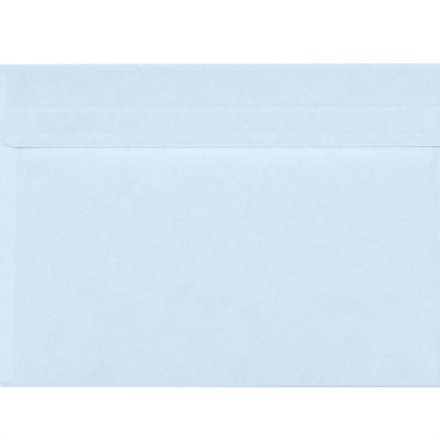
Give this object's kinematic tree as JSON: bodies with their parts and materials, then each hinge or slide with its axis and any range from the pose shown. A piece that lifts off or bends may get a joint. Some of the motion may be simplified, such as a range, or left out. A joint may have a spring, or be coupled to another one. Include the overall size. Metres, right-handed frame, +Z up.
{
  "type": "paper envelope",
  "caption": "Flat paper envelope with glued side seams, a throat along one long edge and a closed straight-edged seal flap with a gum strip; holds folded sheets or a card.",
  "frame": {"origin": "on the table under the middle of the envelope, at the front panel's outer face", "axes": "+X along the long edges, +Y from the bottom fold towards the seal flap's fold, +Z up, out of the seal flap's side"},
  "size_m": [0.229, 0.162, 0.0029],
  "materials": {
    "paper": "matte",
    "gum": "satin"
  },
  "bodies": {
    "root": {"folded_sheet": "paper", "seal_gum": "gum"}
  },
  "joints": []
}
